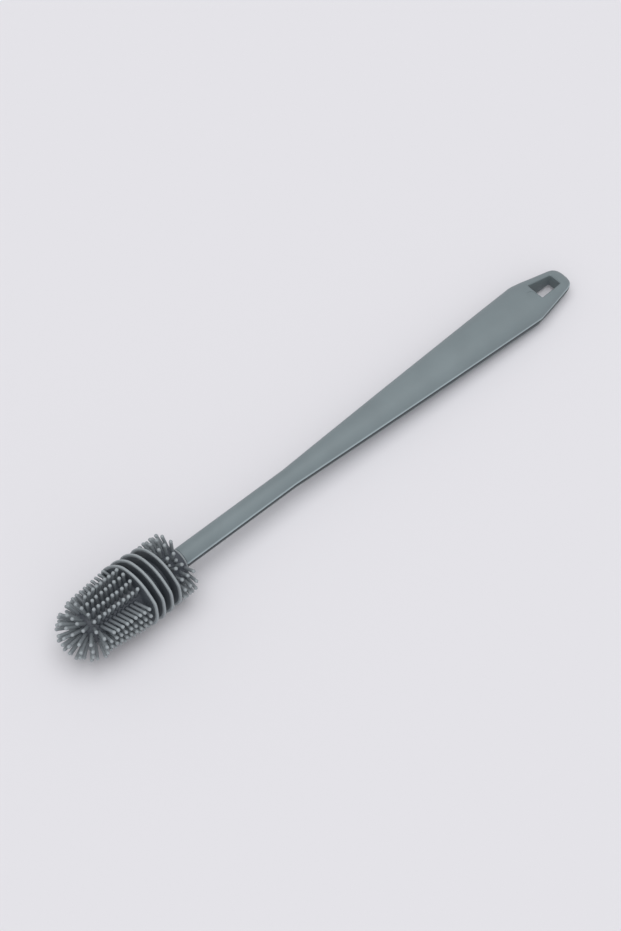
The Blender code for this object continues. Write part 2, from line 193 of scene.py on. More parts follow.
# Power of the outline of the handle's section: round at the neck, and what the grip and end add
ROUND_POWER = 2.0
GRIP_POWER = 0.4
END_POWER = 0.5
END_POWER_REACH = 10.0

# Sections of the handle: long steps from the neck to just before the shoulder, short ones over it,
# and the nose's own. Each has so many points a side below the parting line's bead and above it
LONG_STEP = 2.5
NECK_SECTIONS = 31
FIRST_GRIP_STEP = 2.0
SHOULDER_LEAD = 8.0
SHORT_STEP = 0.7
NOSE_SECTIONS = 20
LAST_SECTION_GAP = 0.004
SLOPE_STEP = 0.002
LOWER_POINTS = 24
UPPER_POINTS = 30

# Stiff core inside the skin, and the bore that the skin leaves for it
SKIN_THICKNESS = 3.0
STEM_RADIUS = 4.2
CORE_END = 285.0
CORE_GAP = 0.3
CORE_ROUND = 3.0
CORE_ROUND_SHARES = (0.75, 0.3, 0.0)
CORE_FLARE_LEAD = 20.0
CORE_STEPS = 7

# Where the handle lies, the table presses a small flat at this height. The block that cuts it is
# so many metres long
REST_HEIGHT = 0.03
TABLE_CUTTER_SIZE = 0.2

# Parting line down both sides of the handle: its height over the axis, and the bead there as
# (height over the line, how far the skin stands out, how pale it is painted: a painted highlight
# along the bead). All of it shrinks where the handle's half thickness is less than PARTING_FULL_SIZE
PARTING_HEIGHT = 1.2
PARTING_FULL_SIZE = 3.5
PARTING_BEAD = ((1.4, 0.0, 0.5), (1.15, 0.05, 0.6), (0.8, 0.14, 0.95), (0.4, 0.18, 1.0),
                (0.1, 0.14, 0.9), (0.0, 0.0, 0.1), (-0.06, -0.08, 0.0), (-0.25, -0.12, 0.0))
# Under the line the skin stands back by a step, which is gone at the underside, and carries painted
# shade in a band this wide, which narrows faster than the rest where the handle is thin
PARTING_STEP = 0.12
PARTING_SHADE = 4.5
PARTING_SHADE_SHRINK = 3

# Level of the handle's plain skin, between the painted shade and the painted highlight, and where
# the cut surfaces get it too: further in from the handle's sides than its flank, and no further along
# than a little past the hole
HANDLE_PLAIN_LIGHT = 0.5
HANDLE_FLANK = 2.0
HANDLE_PLAIN_REACH = 1.0

# Hang hole: wide at the shoulder end, with a rounded rim and a slight draft, and the rise and flare
# of the plug that cuts it
HOLE_START = 298.0
HOLE_END = 315.0
HOLE_START_WIDTH = 11.6
HOLE_END_WIDTH = 8.0
HOLE_CORNER = 0.9
HOLE_CORNER_STEPS = 6
HOLE_RIM_ROUND = 0.6
HOLE_RIM_STEPS = 5
HOLE_RIM_GAP = 0.001
HOLE_DRAFT = 0.4
HOLE_PLUG_RISE = 1.5
HOLE_PLUG_FLARE = 1.6

# Gate mark: its place as (along, across), and the disc that cuts it
GATE_MARK_PLACE = (294.0, 1.5)
GATE_MARK_RADIUS = 3.0
GATE_MARK_DEPTH = 0.2
GATE_MARK_SIDES = 48
GATE_DISC_THICKNESS = 1.0

# Silicone: cloudy patches about 26 mm wide and the spread of its sheen. The specks of both materials
# are drawn about half a millimetre or more wide, because the real grain is too fine to show
SILICONE_IOR = 1.41
CLOUDS_PER_METRE = 38.0
SHEEN_SPREAD = 0.04
SILICONE_GRAIN = 0.25
SILICONE_GRAIN_DEPTH = 0.06
PLASTIC_IOR = 1.49
PLASTIC_SPECK = 5 / 9
PLASTIC_GRAIN = 0.2
PLASTIC_GRAIN_DEPTH = 0.04

# Pale table, half its size in metres
TABLE_COLOUR = "#E4E3E8"
TABLE_ROUGHNESS = 0.9
TABLE_HALF = 3.0

# Camera on the brush's own axis, from the photograph's perspective
CAMERA_PLACE = Vector((1116.77, 577.11, -460.24))
CAMERA_TURN = Euler([math.radians(angle) for angle in (128.146, -46.917, 87.445)])
CAMERA_LENS = 100.0
CAMERA_SENSOR = 36.0

# Soft lamps far away: where each stands, its share of the table's light, its width in degrees
LAMPS = (("key", (-0.05, -0.05, 1.0), 0.42, 60.0), ("front", (-0.8, -0.7, 0.8), 0.14, 90.0))


def colour(code):
    """Linear colour of an sRGB hex code."""
    parts = [int(code[i:i + 2], 16) / 255 for i in (1, 3, 5)]
    return tuple(p / 12.92 if p <= 0.04045 else ((p + 0.055) / 1.055) ** 2.4 for p in parts) + (1.0,)


def add_node(tree, kind, settings=None, links=None):
    """Add one node; links fills its inputs with values or joins them to other nodes' outputs."""
    node = tree.nodes.new(kind)
    for name, value in (settings or {}).items():
        setattr(node, name, value)
    for key, value in (links or {}).items():
        if isinstance(value, bpy.types.NodeSocket):
            tree.links.new(value, node.inputs[key])
        else:
            node.inputs[key].default_value = value
    return node


def axis_matrix():
    """Place and turn of the brush's own axis, as it lies on the table."""
    along = Vector((math.cos(AXIS_FALL), 0.0, -math.sin(AXIS_FALL)))
    up = Vector((math.sin(AXIS_FALL), 0.0, math.cos(AXIS_FALL)))
    turn = Matrix((up, along.cross(up), along)).transposed().to_4x4()
    return Matrix.Translation(AXIS_PLACE) @ turn


AXIS = axis_matrix()
AXIS_MM = AXIS @ Matrix.Scale(MM, 4)


def add_object(name, mesh):
    thing = bpy.data.objects.new(name, mesh)
    bpy.context.scene.collection.objects.link(thing)
    return thing


def clamp(value, low=0.0, high=1.0):
    return min(max(value, low), high)


def full_turn(count):
    """Evenly spaced angles round the axis."""
    return [math.tau * i / count for i in range(count)]


def right_angle(count):
    """Angles from 0 to a right angle in even steps."""
    return [math.pi / 2 * i / count for i in range(count + 1)]


def axis_point(radius, angle, along):
    return (radius * math.cos(angle), radius * math.sin(angle), along)


def painted_light_vert(bm, layer, place, painted_light):
    """One point that carries how light its silicone is painted, for painted shade and painted
    highlight.
    """
    vert = bm.verts.new(place)
    vert[layer] = painted_light
    return vert


def close_over(bm, ring, tip):
    """Triangles from a ring of points to one tip."""
    for i, point in enumerate(ring):
        bm.faces.new((point, ring[(i + 1) % len(ring)], tip))


def skin_over(bm, rings, closed=False):
    """Faces between rings of one point count, and round to the first ring again when closed."""
    count = len(rings[0])
    pairs = list(zip(rings, rings[1:]))
    if closed:
        pairs.append((rings[-1], rings[0]))
    for low, high in pairs:
        for i in range(count):
            j = (i + 1) % count
            bm.faces.new((low[i], low[j], high[j], high[i]))


def mesh_from(name, bm):
    mesh = bpy.data.meshes.new(name)
    bmesh.ops.recalc_face_normals(bm, faces=bm.faces)
    bm.to_mesh(mesh)
    bm.free()
    mesh.shade_smooth()
    return mesh


def set_on_axis(name, bm, material):
    """Turn a shape in millimetres on the brush's axis into an object where the brush lies."""
    mesh = mesh_from(name, bm)
    mesh.transform(AXIS_MM)
    mesh.materials.append(material)
    mesh.set_sharp_from_angle(angle=SHARP_ANGLE)
    return add_object(name, mesh)


def dress(thing, body, slot, *nodes):
    """Let a piece ride on its body, and show it in place of the plain nodes."""
    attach(thing, body)
    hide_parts(*nodes)


# Materials


def blank_material(name):
    """A new material, its node tree and its shader."""
    material = bpy.data.materials.new(name)
    material.use_nodes = True
    return material, material.node_tree, material.node_tree.nodes["Principled BSDF"]


def add_grain(tree, shader, place, speck, strength, depth):
    """Small bumps that the mould's surface leaves, with their width and depth in millimetres."""
    grain = add_node(tree, "ShaderNodeTexNoise", links={
        "Vector": place, "Scale": 1.0 / (speck * MM), "Detail": 2.0, "Roughness": 0.6})
    bump = add_node(tree, "ShaderNodeBump", links={
        "Height": grain.outputs["Fac"], "Strength": strength, "Distance": depth * MM})
    tree.links.new(bump.outputs["Normal"], shader.inputs["Normal"])


def silicone_material(name, base, pale, speck, roughness):
    """Liquid silicone rubber, moulded against a lightly blasted tool.

    It gives a matte skin with a weak wide sheen and a faint cloudy variation. A point attribute
    blends the two colours as painted light: the pale one is a painted highlight on pin ends, fin
    rims, the collar's lip and the handle's parting bead, the base one is painted shade in the
    depths, and the handle's plain skin lies between them.
    """
    material, tree, shader = blank_material(name)
    place = add_node(tree, "ShaderNodeTexCoord").outputs["Object"]
    cloud = add_node(tree, "ShaderNodeTexNoise", links={
        "Vector": place, "Scale": CLOUDS_PER_METRE, "Detail": 3.0, "Roughness": 0.5})
    tint = add_node(tree, "ShaderNodeMapRange", links={
        "Value": cloud.outputs["Fac"], "From Min": 0.35, "From Max": 0.65,
        "To Min": 0.95, "To Max": 1.05})
    painted_light = add_node(tree, "ShaderNodeAttribute", {"attribute_name": "painted_light"})
    body = add_node(tree, "ShaderNodeMix", {"data_type": "RGBA"}, {
        0: painted_light.outputs["Fac"], 6: colour(base), 7: colour(pale)})
    shade = add_node(tree, "ShaderNodeVectorMath", {"operation": "SCALE"}, {
        0: body.outputs[2], "Scale": tint.outputs["Result"]})
    tree.links.new(shade.outputs["Vector"], shader.inputs["Base Color"])
    add_grain(tree, shader, place, speck, SILICONE_GRAIN, SILICONE_GRAIN_DEPTH)
    sheen = add_node(tree, "ShaderNodeMapRange", links={
        "Value": cloud.outputs["Fac"], "From Min": 0.3, "From Max": 0.7,
        "To Min": roughness - SHEEN_SPREAD, "To Max": roughness + SHEEN_SPREAD})
    tree.links.new(sheen.outputs["Result"], shader.inputs["Roughness"])
    shader.inputs["IOR"].default_value = SILICONE_IOR
    return material


def plastic_material(name, base, roughness):
    """Moulded polypropylene: a satin surface with a fine even texture from the tool."""
    material, tree, shader = blank_material(name)
    shader.inputs["Base Color"].default_value = colour(base)
    shader.inputs["Roughness"].default_value = roughness
    shader.inputs["IOR"].default_value = PLASTIC_IOR
    place = add_node(tree, "ShaderNodeTexCoord").outputs["Object"]
    add_grain(tree, shader, place, PLASTIC_SPECK, PLASTIC_GRAIN, PLASTIC_GRAIN_DEPTH)
    return material


# Both silicones carry painted light: the base colour is painted shade, the pale one painted highlight
HEAD_SILICONE = silicone_material(
    "moulded_silicone_head", base="#43484F", pale="#969DA1", speck=0.6, roughness=0.4)
HANDLE_SILICONE = silicone_material(
    "moulded_silicone_handle", base="#1F282B", pale="#A3B1B6", speck=0.8, roughness=0.45)
CORE_PLASTIC = plastic_material("moulded_polypropylene_core", base="#5C6366", roughness=0.42)
FORMER_PLASTIC = plastic_material("moulded_polypropylene_former", base="#8F9698", roughness=0.5)


# Head


def tube_radius(along):
    """Outside of the silicone that carries the pins."""
    if along < DOME_CENTRE:
        return math.sqrt(max(DOME_RADIUS ** 2 - (DOME_CENTRE - along) ** 2, 0.0))
    if along < 0.0:
        share = (along - DOME_CENTRE) / -DOME_CENTRE
        return DOME_RADIUS + share * (TUBE_RADIUS - DOME_RADIUS)
    start = FIN_PLACES[-1] + TUBE_TAPER_GAP
    share = clamp((along - start) / (TUBE_END - start))
    return TUBE_RADIUS + share * (TUBE_REAR_RADIUS - TUBE_RADIUS)


def dome(radius, count):
    """Profile of a dome round DOME_CENTRE, from just off its nose to its widest ring."""
    return [(radius * math.sin(tilt), DOME_CENTRE - radius * math.cos(tilt))
            for tilt in right_angle(count)[1:]]


def quarter_turn(radius, along, rise, run, count, outward):
    """Quarter of an ellipse that starts square to the axis (outward) or level with it."""
    points = []
    for turn in right_angle(count)[1:]:
        if outward:
            points.append((radius + rise * math.sin(turn), along + run * (1 - math.cos(turn))))
        else:
            points.append((radius + rise * (1 - math.cos(turn)), along + run * math.sin(turn)))
    return points


def head_profile():
    """Outline of the moulding: nose to collar outside, then back down its blind bore."""
    points = dome(DOME_RADIUS, DOME_STEPS)
    steps = int(TUBE_END - DOME_CENTRE)  # about a millimetre each
    for i in range(1, steps + 1):
        along = DOME_CENTRE + (TUBE_END - DOME_CENTRE) * i / steps
        points.append((tube_radius(along), along))
    points += quarter_turn(TUBE_REAR_RADIUS, TUBE_END, COLLAR_GROOVE_RADIUS - TUBE_REAR_RADIUS,
                           COLLAR_GROOVE_END - TUBE_END, COLLAR_GROOVE_STEPS, False)
    points.append((COLLAR_GROOVE_RADIUS, COLLAR_LIP_START))
    points += quarter_turn(COLLAR_LIP_RADIUS - COLLAR_EDGE, COLLAR_LIP_START,
                           COLLAR_EDGE, COLLAR_EDGE, COLLAR_EDGE_STEPS, True)
    points += quarter_turn(COLLAR_LIP_RADIUS, COLLAR_END - COLLAR_EDGE,
                           -COLLAR_EDGE, COLLAR_EDGE, COLLAR_EDGE_STEPS, False)
    points += [(NECK_OPENING_RADIUS, COLLAR_END), (NECK_OPENING_RADIUS, BORE_END),
               (BORE_RADIUS, BORE_END)]
    points += reversed(dome(BORE_RADIUS, BORE_DOME_STEPS))
    return points


def parting_ridge(angle, radius, along):
    """Height of the fine ridge that the mould leaves between the quadrants."""
    if radius < PARTING_RIDGE_LEAST_RADIUS or along > TUBE_END:
        return 0.0
    step = math.tau / QUADRANTS
    off = abs((angle % step) - step / 2) * radius / PARTING_RIDGE_WIDTH
    fade = min(radius / DOME_RADIUS, 1.0) ** PARTING_RIDGE_FADE
    return PARTING_RIDGE * fade * max(1 - off * off, 0.0)


def build_head_body():
    """The hollow tube and dome that carry pins and fins, and the collar round the neck."""
    profile = head_profile()
    outside = profile.index((NECK_OPENING_RADIUS, COLLAR_END))
    bm = bmesh.new()
    layer = bm.verts.layers.float.new("painted_light")
    rings = []
    for index, (radius, along) in enumerate(profile):
        # The collar's lip is painted pale as a painted highlight; the rest is painted dark as painted
        # shade
        painted_light = 1.0 if along > COLLAR_LIP_START and radius > NECK_OPENING_RADIUS else 0.0
        ring = []
        for angle in full_turn(HEAD_SIDES):
            out = radius + (parting_ridge(angle, radius, along) if index < outside else 0.0)
            ring.append(painted_light_vert(bm, layer, axis_point(out, angle, along), painted_light))
        rings.append(ring)
    skin_over(bm, rings)
    for ring, radius in ((rings[0], DOME_RADIUS), (rings[-1], BORE_RADIUS)):
        close_over(bm, ring, bm.verts.new((0.0, 0.0, DOME_CENTRE - radius)))
    return set_on_axis("head_body", bm, HEAD_SILICONE)


def fin_growth(angle):
    """What a fin's rim adds to its circle: a corner at each parting, and a little underneath."""
    grown = FIN_LOWER_GROWTH * max(-math.cos(angle), 0.0)
    for corner in FIN_CORNER_ANGLES:
        off = abs((angle - corner + math.pi) % math.tau - math.pi) / FIN_CORNER_WIDTH
        grown += FIN_CORNER * max(1 - off, 0.0)
    return grown


def fin_mesh():
    """One fin round the axis at place 0, thin at its rim and filleted into the tube."""
    rim = FIN_RADII[0]
    side = [(TUBE_RADIUS + rise, FIN_ROOT_HALF + gain) for rise, gain in FIN_ROOT_SIDE]
    side += [(rim - FIN_RIM_HIGHLIGHT + rise, FIN_RIM_HALF + gain) for rise, gain in FIN_RIM_SIDE]
    round_rim = []
    for i in range(FIN_RIM_STEPS + 1):
        turn = math.pi * i / FIN_RIM_STEPS
        radius = rim - FIN_RIM_HALF + FIN_RIM_HALF * math.sin(turn)
        round_rim.append((radius, FIN_RIM_HALF * math.cos(turn)))
    section = side + round_rim + [(radius, -half) for radius, half in reversed(side)]
    bm = bmesh.new()
    layer = bm.verts.layers.float.new("painted_light")
    rings = []
    for radius, along in section:
        share = max((radius - TUBE_RADIUS) / (rim - TUBE_RADIUS), 0.0)
        # The rim's band is a painted highlight; the faces darken towards the root as painted shade
        painted_light = 1.0 if radius > rim - FIN_RIM_HIGHLIGHT else FIN_FACE_LIGHT * share
        ring = []
        for angle in full_turn(HEAD_SIDES):
            out = radius + fin_growth(angle) * share
            ring.append(painted_light_vert(bm, layer, axis_point(out, angle, along), painted_light))
        rings.append(ring)
    skin_over(bm, rings, closed=True)
    return mesh_from("fin", bm)


def pin_mesh(shaft_light):
    """One pin along Z from its flared root at 0 to its ball end, which "end" marks."""
    # Painted shade at the root lightens up the shaft to a painted highlight on the ball end
    sections = [(radius, along, 0.0, shaft_light * share) for radius, along, share in PIN_SHAFT]
    sections += [(radius, PIN_LENGTH - below, 1.0, shaft_light + (1 - shaft_light) * share)
                 for radius, below, share in PIN_BALL]
    bm = bmesh.new()
    end_layer = bm.verts.layers.float.new("end")
    light_layer = bm.verts.layers.float.new("painted_light")
    rings = []
    for radius, along, end, painted_light in sections:
        ring = []
        for angle in full_turn(PIN_SIDES):
            vert = painted_light_vert(bm, light_layer, axis_point(radius, angle, along), painted_light)
            vert[end_layer] = end
            ring.append(vert)
        rings.append(ring)
    skin_over(bm, rings)
    tip = painted_light_vert(bm, light_layer, (0.0, 0.0, PIN_LENGTH), 1.0)
    tip[end_layer] = 1.0
    close_over(bm, rings[-1], tip)
    bm.faces.new(list(reversed(rings[0])))
    return mesh_from("pin", bm)


# What each point of a repeated shape carries, after its place
POINT_ATTRIBUTES = (("toward", "FLOAT_VECTOR"), ("size", "FLOAT_VECTOR"), ("longer", "FLOAT"))


def repeat_tree():
    """Geometry nodes that set one shape on every point, aimed and lengthened as the point says."""
    tree = bpy.data.node_groups.new("shape_on_points", "GeometryNodeTree")
    for name, kind in (("Points", "NodeSocketGeometry"), ("Shape", "NodeSocketObject"),
                       ("Wobble", "NodeSocketFloat"), ("Seed", "NodeSocketInt"),
                       ("Finish", "NodeSocketMaterial")):
        tree.interface.new_socket(name, in_out="INPUT", socket_type=kind)
    tree.interface.new_socket("Made", in_out="OUTPUT", socket_type="NodeSocketGeometry")
    given = add_node(tree, "NodeGroupInput").outputs
    shape = add_node(tree, "GeometryNodeObjectInfo", links={"Object": given["Shape"]})
    read = {}
    for name, kind in POINT_ATTRIBUTES + (("aim", "FLOAT_VECTOR"), ("end", "FLOAT")):
        reader = add_node(tree, "GeometryNodeInputNamedAttribute", {"data_type": kind}, {"Name": name})
        read[name] = reader.outputs["Attribute"]
    low, high = [add_node(tree, "ShaderNodeVectorMath", {"operation": "SCALE"}, {
        0: (side, side, side), "Scale": given["Wobble"]}).outputs["Vector"] for side in (-1.0, 1.0)]
    shake = add_node(tree, "FunctionNodeRandomValue", {"data_type": "FLOAT_VECTOR"}, {
        "Min": low, "Max": high, "Seed": given["Seed"]})
    aim = add_node(tree, "ShaderNodeVectorMath", {"operation": "ADD"}, {
        0: read["toward"], 1: shake.outputs["Value"]})
    unit = add_node(tree, "ShaderNodeVectorMath", {"operation": "NORMALIZE"}, {
        0: aim.outputs["Vector"]})
    aimed = add_node(tree, "GeometryNodeStoreNamedAttribute", {"data_type": "FLOAT_VECTOR"}, {
        "Geometry": given["Points"], "Name": "aim", "Value": unit.outputs["Vector"]})
    turn = add_node(tree, "FunctionNodeAlignRotationToVector", {"axis": "Z"}, {"Vector": read["aim"]})
    placed = add_node(tree, "GeometryNodeInstanceOnPoints", links={
        "Points": aimed.outputs["Geometry"], "Instance": shape.outputs["Geometry"],
        "Rotation": turn.outputs["Rotation"], "Scale": read["size"]})
    real = add_node(tree, "GeometryNodeRealizeInstances", links={
        "Geometry": placed.outputs["Instances"]})
    share = add_node(tree, "ShaderNodeMath", {"operation": "MULTIPLY"}, {
        0: read["longer"], 1: read["end"]})
    step = add_node(tree, "ShaderNodeVectorMath", {"operation": "SCALE"}, {
        0: read["aim"], "Scale": share.outputs["Value"]})
    moved = add_node(tree, "GeometryNodeSetPosition", links={
        "Geometry": real.outputs["Geometry"], "Offset": step.outputs["Vector"]})
    finish = add_node(tree, "GeometryNodeSetMaterial", links={
        "Geometry": moved.outputs["Geometry"], "Material": given["Finish"]})
    add_node(tree, "NodeGroupOutput", links={"Made": finish.outputs["Geometry"]})
    return tree


REPEAT = repeat_tree()


def far_lean(place):
    """How far towards the nose a point of the head has leaned."""
    off = (math.atan2(place.y, place.x) - FAR_SIDE + math.pi) % math.tau - math.pi
    if abs(off) > FAR_SIDE_WIDTH:
        return 0.0
    nose, peak, end = FAR_LEAN_PLACES
    share = (place.z - nose) / (peak - nose) if place.z < peak else (end - place.z) / (end - peak)
    height = (math.hypot(place.x, place.y) - TUBE_RADIUS) / (FIN_RADII[0] - TUBE_RADIUS)
    around_share = math.cos(math.pi / 2 * off / FAR_SIDE_WIDTH) ** 2
    return FAR_LEAN * max(share, 0.0) * max(height, 0.0) * around_share


def repeat(name, shape_mesh, points, wobble=0.0, seed=1):
    """Set the shape on points of (place, direction, size, extra length) as one plain mesh."""
    shape = add_object("shape", shape_mesh)
    base = bpy.data.meshes.new("points")
    base.from_pydata([point[0] for point in points], [], [])
    for index, (label, kind) in enumerate(POINT_ATTRIBUTES):
        attribute = base.attributes.new(label, kind, "POINT")
        for i, point in enumerate(points):
            setattr(attribute.data[i], "value" if kind == "FLOAT" else "vector", point[index + 1])
    carrier = add_object("carrier", base)
    modifier = carrier.modifiers.new("repeat", "NODES")
    modifier.node_group = REPEAT
    values = {"Shape": shape, "Wobble": wobble, "Seed": seed, "Finish": HEAD_SILICONE}
    for item in REPEAT.interface.items_tree:
        if item.in_out == "INPUT" and item.name in values:
            modifier[item.identifier] = values[item.name]
    graph = bpy.context.evaluated_depsgraph_get()
    mesh = bpy.data.meshes.new_from_object(carrier.evaluated_get(graph))
    bpy.data.objects.remove(carrier)
    bpy.data.objects.remove(shape)
    mesh.name = name
    for vert in mesh.vertices:
        vert.co.z -= far_lean(vert.co)
    mesh.transform(AXIS_MM)
    mesh.shade_smooth()
    return add_object(name, mesh)


def build_fins():
    """The four fins, as one shape scaled to each radius."""
    points = []
    for along, radius in zip(FIN_PLACES, FIN_RADII):
        scale = radius / FIN_RADII[0]
        points.append(((0.0, 0.0, along), (0.0, -FIN_TILT, 1.0), (scale, scale, 1.0), 0.0))
    return repeat("scraper_fins", fin_mesh(), points)


def around(angle):
    return Vector((math.cos(angle), math.sin(angle), 0.0))


def row_angles():
    """Base angle and leaning angle of every lengthwise row."""
    width = math.tau / QUADRANTS
    rows = []
    for quadrant in range(QUADRANTS):
        middle = quadrant * width
        for row in range(ROWS_PER_QUADRANT):
            offset = width * ((row + 0.5) / ROWS_PER_QUADRANT - 0.5)
            rows.append((middle + offset, middle + offset * LEAN))
    return rows


def pin_point(root, direction, length):
    """A pin for repeat, whose length differs only in its shaft."""
    return (root, direction, (1.0, 1.0, 1.0), length - PIN_LENGTH)


def barrel_points():
    """Rows of pins along the tube. The first of each quadrant is the comb."""
    points = []
    for ring in range(BARREL_RINGS):
        share = ring / (BARREL_RINGS - 1)
        for row, (base, lean) in enumerate(row_angles()):
            first, last, tilt = BARREL_FIRST, BARREL_LAST, 0.0
            tip_radius = BARREL_FIRST_REACH + (BARREL_LAST_REACH - BARREL_FIRST_REACH) * share
            if row % ROWS_PER_QUADRANT == 0:
                first, last, tilt = COMB_FIRST, COMB_LAST, COMB_LEAN
                tip_radius += COMB_EXTRA_REACH
                base += COMB_ROOT_TURN
                lean += COMB_TIP_TURN
            along = first + (last - first) * share
            radius = tube_radius(along)
            across = radius * math.cos(base - lean)
            out = -across + math.sqrt(across ** 2 + tip_radius ** 2 - radius ** 2)
            root = around(base) * radius + Vector((0.0, 0.0, along))
            direction = around(lean) * math.cos(tilt) + Vector((0.0, 0.0, math.sin(tilt)))
            points.append(pin_point(root, direction, out / math.cos(tilt)))
    return points


def dome_point(tilt_degrees, angle):
    """A pin on the dome, at its degrees from the nose and its angle round the axis."""
    tilt = math.radians(tilt_degrees)
    direction = around(angle) * math.sin(tilt) - Vector((0.0, 0.0, math.cos(tilt)))
    end = DOME_SIDE_REACH + (DOME_NOSE_REACH - DOME_SIDE_REACH) * math.cos(tilt) ** 2
    end += DOME_NEAR_GROWTH * math.sin(tilt) * max(math.cos(angle - DOME_NEAR_SIDE), 0.0)
    root = Vector((0.0, 0.0, DOME_CENTRE)) + direction * DOME_RADIUS
    return pin_point(root, direction, end - DOME_RADIUS)


def dome_points():
    """The dome's pins: two rings follow the rows, a third of the way to their lean."""
    points = []
    for tilt in DOME_ROW_TILTS:
        points += [dome_point(tilt, (2 * base + lean) / 3) for base, lean in row_angles()]
    points += [dome_point(THIRD_RING_TILT, THIRD_RING_TURN + angle)
               for angle in full_turn(THIRD_RING_PINS)]
    points += [dome_point(NOSE_RING_TILT, angle) for angle in full_turn(NOSE_RING_PINS)]
    points += [dome_point(PARTING_PIN_TILT, math.tau * (i + 0.5) / QUADRANTS)
               for i in range(QUADRANTS)]
    points.append(dome_point(0.0, 0.0))
    return points


def rear_points():
    """Rings behind the fins, with two places left free by the collar and two short stubs."""
    places = []
    for along, reach in REAR_RINGS:
        for row, (base, _) in enumerate(row_angles()):
            if (along, row) not in REAR_GAP:
                places.append((along, base + REAR_TURN, reach))
    places += [(along, math.radians(angle), REAR_STUB_REACH) for along, angle in REAR_STUBS]
    points = []
    for along, angle, reach in places:
        radius = tube_radius(along)
        root = around(angle) * radius + Vector((0.0, 0.0, along))
        points.append(pin_point(root, around(angle), reach - radius))
    return points


# Handle


def smooth_min(a, b, softness):
    """The smaller of two values, rounded off where they meet."""
    blend = max(softness - abs(a - b), 0.0) / softness
    return min(a, b) - blend * blend * softness / 4


def grip_share(along):
    """How far the neck has flared into the grip, with a slight bulge on the way."""
    share = clamp((along - FLARE_START) / (SHOULDER - FLARE_START), high=GRIP_SHARE_LIMIT)
    return (1 + GRIP_BULGE) * share - GRIP_BULGE * share * share


def nose_share(along):
    """Rounding of the handle's end, 1 before it starts and 0 at the very end."""
    into = max(along - (HANDLE_END - NOSE_LENGTH), 0.0) / NOSE_LENGTH
    return max(1 - into ** NOSE_SQUARENESS, 0.0) ** (1 / NOSE_SQUARENESS)


def half_size(along, grip_half, end_slope):
    """Half of the handle's width or thickness, from what it is at the shoulder."""
    grip = NECK_RADIUS + (grip_half - NECK_RADIUS) * grip_share(along)
    end = grip_half - (along - SHOULDER) * end_slope
    return smooth_min(grip, end, SHOULDER_SOFTNESS) * nose_share(along)


def half_width(along):
    return half_size(along, GRIP_HALF_WIDTH, END_WIDTH_SLOPE)


def half_thickness(along):
    return half_size(along, GRIP_HALF_THICKNESS, END_THICKNESS_SLOPE)


def squareness(along):
    """Power of the section's outline: 2 is round, more is flatter on top and at the sides."""
    end = clamp((along - SHOULDER) / END_POWER_REACH)
    return ROUND_POWER + GRIP_POWER * grip_share(along) + END_POWER * end


def shoulder_shift(along, x):
    """The shoulder stands nearer the hang hole on the upper side than on the underside."""
    off = (along - SHOULDER) / SHOULDER_SLANT_REACH
    share = max(1 - off * off, 0.0) ** 2
    return SHOULDER_SLANT * share * clamp((x - PARTING_HEIGHT) / SHOULDER_SLANT_DEPTH, low=-1.0)


def handle_stations():
    """Places of the handle's sections, close together where it turns."""
    stations = [NECK_START + NECK_EDGE + LONG_STEP * i for i in range(NECK_SECTIONS)]
    along = stations[-1] + FIRST_GRIP_STEP
    while along < SHOULDER - SHOULDER_LEAD:
        stations.append(along)
        along += LONG_STEP
    start = HANDLE_END - NOSE_LENGTH
    while along < start:
        stations.append(along)
        along += SHORT_STEP
    stations += [start + NOSE_LENGTH * math.sin(turn) for turn in right_angle(NOSE_SECTIONS)[:-1]]
    stations.append(HANDLE_END - LAST_SECTION_GAP)
    return stations


def plan_normal(along):
    """Which way the handle's side faces, seen from above, as (across, along)."""
    slope = (half_width(along) - half_width(along - SLOPE_STEP)) / SLOPE_STEP
    length = math.hypot(1.0, slope)
    return 1.0 / length, -slope / length


def handle_ring(along):
    """One section of the handle from the parting on its +Y side round underneath and over the top.

    Each point is (x, y, along, how light it is painted for painted shade and highlight).
    """
    thick = half_thickness(along)
    wide = half_width(along)
    power = squareness(along)
    size = min(thick / PARTING_FULL_SIZE, 1.0)
    line = PARTING_HEIGHT * size
    across, forward = plan_normal(along)
    fade = thick / max(nose_share(along), NEARLY_ZERO)

    def set_out(x, side, offset, painted_light):
        """A point of the outline, moved out by the offset the way the handle's side faces."""
        y = wide * max(1 - abs(x / thick) ** power, 0.0) ** (1 / power) + offset * across
        return (x, side * max(y, 0.0), along + offset * forward + shoulder_shift(along, x), painted_light)

    def arc(first, last, count):
        """Points between two heights, spread evenly by the turn of the outline."""
        start = math.acos(math.copysign(abs(first / thick) ** (power / 2), first))
        stop = math.acos(math.copysign(abs(last / thick) ** (power / 2), last))
        turns = [start + (stop - start) * i / (count + 1) for i in range(1, count + 1)]
        return [thick * math.copysign(abs(math.cos(t)) ** (2 / power), math.cos(t)) for t in turns]

    # The bead is painted pale as a painted highlight; under it painted shade fades to the plain skin
    down = [(line + rise * size, out * size, painted_light) for rise, out, painted_light in PARTING_BEAD]
    for x in arc(down[-1][0], -thick, LOWER_POINTS):
        shade = min((line - x) / (PARTING_SHADE * size ** PARTING_SHADE_SHRINK), 1.0)
        down.append((x, -PARTING_STEP * size * (1 - (x / fade) ** 2), HANDLE_PLAIN_LIGHT * shade * shade))
    upper = [(x, 0.0, HANDLE_PLAIN_LIGHT) for x in arc(thick, down[0][0], UPPER_POINTS)]
    ring = [set_out(x, 1, out, painted_light) for x, out, painted_light in down]
    ring.append((-thick, 0.0, along + shoulder_shift(along, -thick), HANDLE_PLAIN_LIGHT))
    ring += [set_out(x, -1, out, painted_light) for x, out, painted_light in reversed(down)]
    ring += [set_out(x, -1, out, painted_light) for x, out, painted_light in reversed(upper)]
    ring.append((thick, 0.0, along + shoulder_shift(along, thick), HANDLE_PLAIN_LIGHT))
    ring += [set_out(x, 1, out, painted_light) for x, out, painted_light in upper]
    return ring


